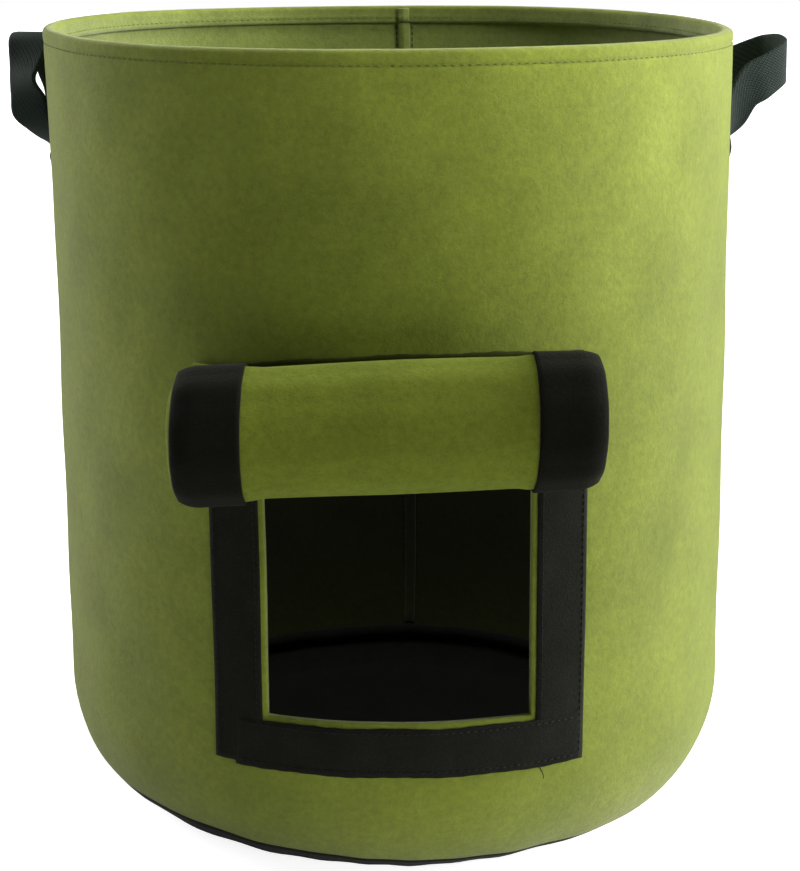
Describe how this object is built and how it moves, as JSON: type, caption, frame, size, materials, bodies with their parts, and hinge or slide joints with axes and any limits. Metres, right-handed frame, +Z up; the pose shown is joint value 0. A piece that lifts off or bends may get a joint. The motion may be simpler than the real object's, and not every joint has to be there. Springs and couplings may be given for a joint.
{
  "type": "fabric grow bag",
  "caption": "Round open-topped felt grow bag with webbing handles and a harvest window under a roll-up hook-tape flap.",
  "frame": {"origin": "centre of the base's underside, on the floor", "axes": "+Z up the bag's axis, -Y out of the window, +X to the right seen from the front"},
  "size_m": [0.3522, 0.3564, 0.345],
  "materials": {
    "wall_felt": "matte olive-green needle felt",
    "base_felt": "matte near-black needle felt",
    "hook_and_loop_tape": "matte black pile",
    "webbing": "matte dark woven webbing"
  },
  "bodies": {
    "bag": {"wall_panel": "wall_felt", "back_seam_allowance": "wall_felt", "base_panel": "base_felt", "base_seam_allowance": "base_felt", "window_tape_left": "hook_and_loop_tape", "window_tape_right": "hook_and_loop_tape", "window_tape_bottom": "hook_and_loop_tape", "flap_sewn_edge": "wall_felt", "left_handle_near_end": "webbing", "left_handle_far_end": "webbing", "right_handle_near_end": "webbing", "right_handle_far_end": "webbing"},
    "left_handle": {"left_handle_loop": "webbing"},
    "right_handle": {"right_handle_loop": "webbing"},
    "flap_1": {"flap_slat_1": "wall_felt", "hook_tape_left_1": "hook_and_loop_tape", "hook_tape_right_1": "hook_and_loop_tape"},
    "flap_2": {"flap_slat_2": "wall_felt", "hook_tape_left_2": "hook_and_loop_tape", "hook_tape_right_2": "hook_and_loop_tape"},
    "flap_3": {"flap_slat_3": "wall_felt", "hook_tape_left_3": "hook_and_loop_tape", "hook_tape_right_3": "hook_and_loop_tape"},
    "flap_4": {"flap_slat_4": "wall_felt", "hook_tape_left_4": "hook_and_loop_tape", "hook_tape_right_4": "hook_and_loop_tape"},
    "flap_5": {"flap_slat_5": "wall_felt", "hook_tape_left_5": "hook_and_loop_tape", "hook_tape_right_5": "hook_and_loop_tape"},
    "flap_6": {"flap_slat_6": "wall_felt", "hook_tape_left_6": "hook_and_loop_tape", "hook_tape_right_6": "hook_and_loop_tape"},
    "flap_7": {"flap_slat_7": "wall_felt", "hook_tape_left_7": "hook_and_loop_tape", "hook_tape_right_7": "hook_and_loop_tape"},
    "flap_8": {"flap_slat_8": "wall_felt", "hook_tape_left_8": "hook_and_loop_tape", "hook_tape_right_8": "hook_and_loop_tape"},
    "flap_9": {"flap_slat_9": "wall_felt", "hook_tape_left_9": "hook_and_loop_tape", "hook_tape_right_9": "hook_and_loop_tape"},
    "flap_10": {"flap_slat_10": "wall_felt", "hook_tape_left_10": "hook_and_loop_tape", "hook_tape_right_10": "hook_and_loop_tape"},
    "flap_11": {"flap_slat_11": "wall_felt", "hook_tape_left_11": "hook_and_loop_tape", "hook_tape_right_11": "hook_and_loop_tape"},
    "flap_12": {"flap_slat_12": "wall_felt", "hook_tape_left_12": "hook_and_loop_tape", "hook_tape_right_12": "hook_and_loop_tape", "hook_tape_bottom": "hook_and_loop_tape"}
  },
  "joints": [
    {"name": "flap_lift", "type": "hinge", "parent": "bag", "child": "flap_1", "pos_m": [0, -0.155, 0.217], "axis": [-1, 0, 0], "range_deg": [0, 50]},
    {"name": "flap_unroll", "type": "hinge", "parent": "flap_1", "child": "flap_2", "pos_m": [0, -0.155, 0.20367], "axis": [1, 0, 0], "range_deg": [0, 31]},
    {"name": "flap_unroll_2", "type": "hinge", "parent": "flap_2", "child": "flap_3", "pos_m": [0, -0.16187, 0.19224], "axis": [1, 0, 0], "range_deg": [0, 31]},
    {"name": "flap_unroll_3", "type": "hinge", "parent": "flap_3", "child": "flap_4", "pos_m": [0, -0.17364, 0.18598], "axis": [1, 0, 0], "range_deg": [0, 31]},
    {"name": "flap_unroll_4", "type": "hinge", "parent": "flap_4", "child": "flap_5", "pos_m": [0, -0.18695, 0.18668], "axis": [1, 0, 0], "range_deg": [0, 31]},
    {"name": "flap_unroll_5", "type": "hinge", "parent": "flap_5", "child": "flap_6", "pos_m": [0, -0.19801, 0.19413], "axis": [1, 0, 0], "range_deg": [0, 31]},
    {"name": "flap_unroll_6", "type": "hinge", "parent": "flap_6", "child": "flap_7", "pos_m": [0, -0.20364, 0.20622], "axis": [1, 0, 0], "range_deg": [0, 31]},
    {"name": "flap_unroll_7", "type": "hinge", "parent": "flap_7", "child": "flap_8", "pos_m": [0, -0.20225, 0.21948], "axis": [1, 0, 0], "range_deg": [0, 32]},
    {"name": "flap_unroll_8", "type": "hinge", "parent": "flap_8", "child": "flap_9", "pos_m": [0, -0.19404, 0.22998], "axis": [1, 0, 0], "range_deg": [0, 34]},
    {"name": "flap_unroll_9", "type": "hinge", "parent": "flap_9", "child": "flap_10", "pos_m": [0, -0.18136, 0.2341], "axis": [1, 0, 0], "range_deg": [0, 37]},
    {"name": "flap_unroll_10", "type": "hinge", "parent": "flap_10", "child": "flap_11", "pos_m": [0, -0.16875, 0.22976], "axis": [1, 0, 0], "range_deg": [0, 41]},
    {"name": "flap_unroll_11", "type": "hinge", "parent": "flap_11", "child": "flap_12", "pos_m": [0, -0.16209, 0.21822], "axis": [1, 0, 0], "range_deg": [0, 45]},
    {"name": "left_handle_swing", "type": "hinge", "parent": "bag", "child": "left_handle", "pos_m": [-0.14999, 0.02916, 0.2866], "axis": [-0.1908, -0.9816, 0], "range_deg": [0, 120]},
    {"name": "right_handle_swing", "type": "hinge", "parent": "bag", "child": "right_handle", "pos_m": [0.14999, 0.02916, 0.2866], "axis": [-0.1908, 0.9816, 0], "range_deg": [0, 120]}
  ],
  "couplings": [
    {"joint": "flap_unroll_2", "follows": "flap_unroll", "ratio": 1},
    {"joint": "flap_unroll_3", "follows": "flap_unroll", "ratio": 1},
    {"joint": "flap_unroll_4", "follows": "flap_unroll", "ratio": 1},
    {"joint": "flap_unroll_5", "follows": "flap_unroll", "ratio": 1},
    {"joint": "flap_unroll_6", "follows": "flap_unroll", "ratio": 1},
    {"joint": "flap_unroll_7", "follows": "flap_unroll", "ratio": 1.0323},
    {"joint": "flap_unroll_8", "follows": "flap_unroll", "ratio": 1.0968},
    {"joint": "flap_unroll_9", "follows": "flap_unroll", "ratio": 1.1935},
    {"joint": "flap_unroll_10", "follows": "flap_unroll", "ratio": 1.3226},
    {"joint": "flap_unroll_11", "follows": "flap_unroll", "ratio": 1.4516}
  ]
}
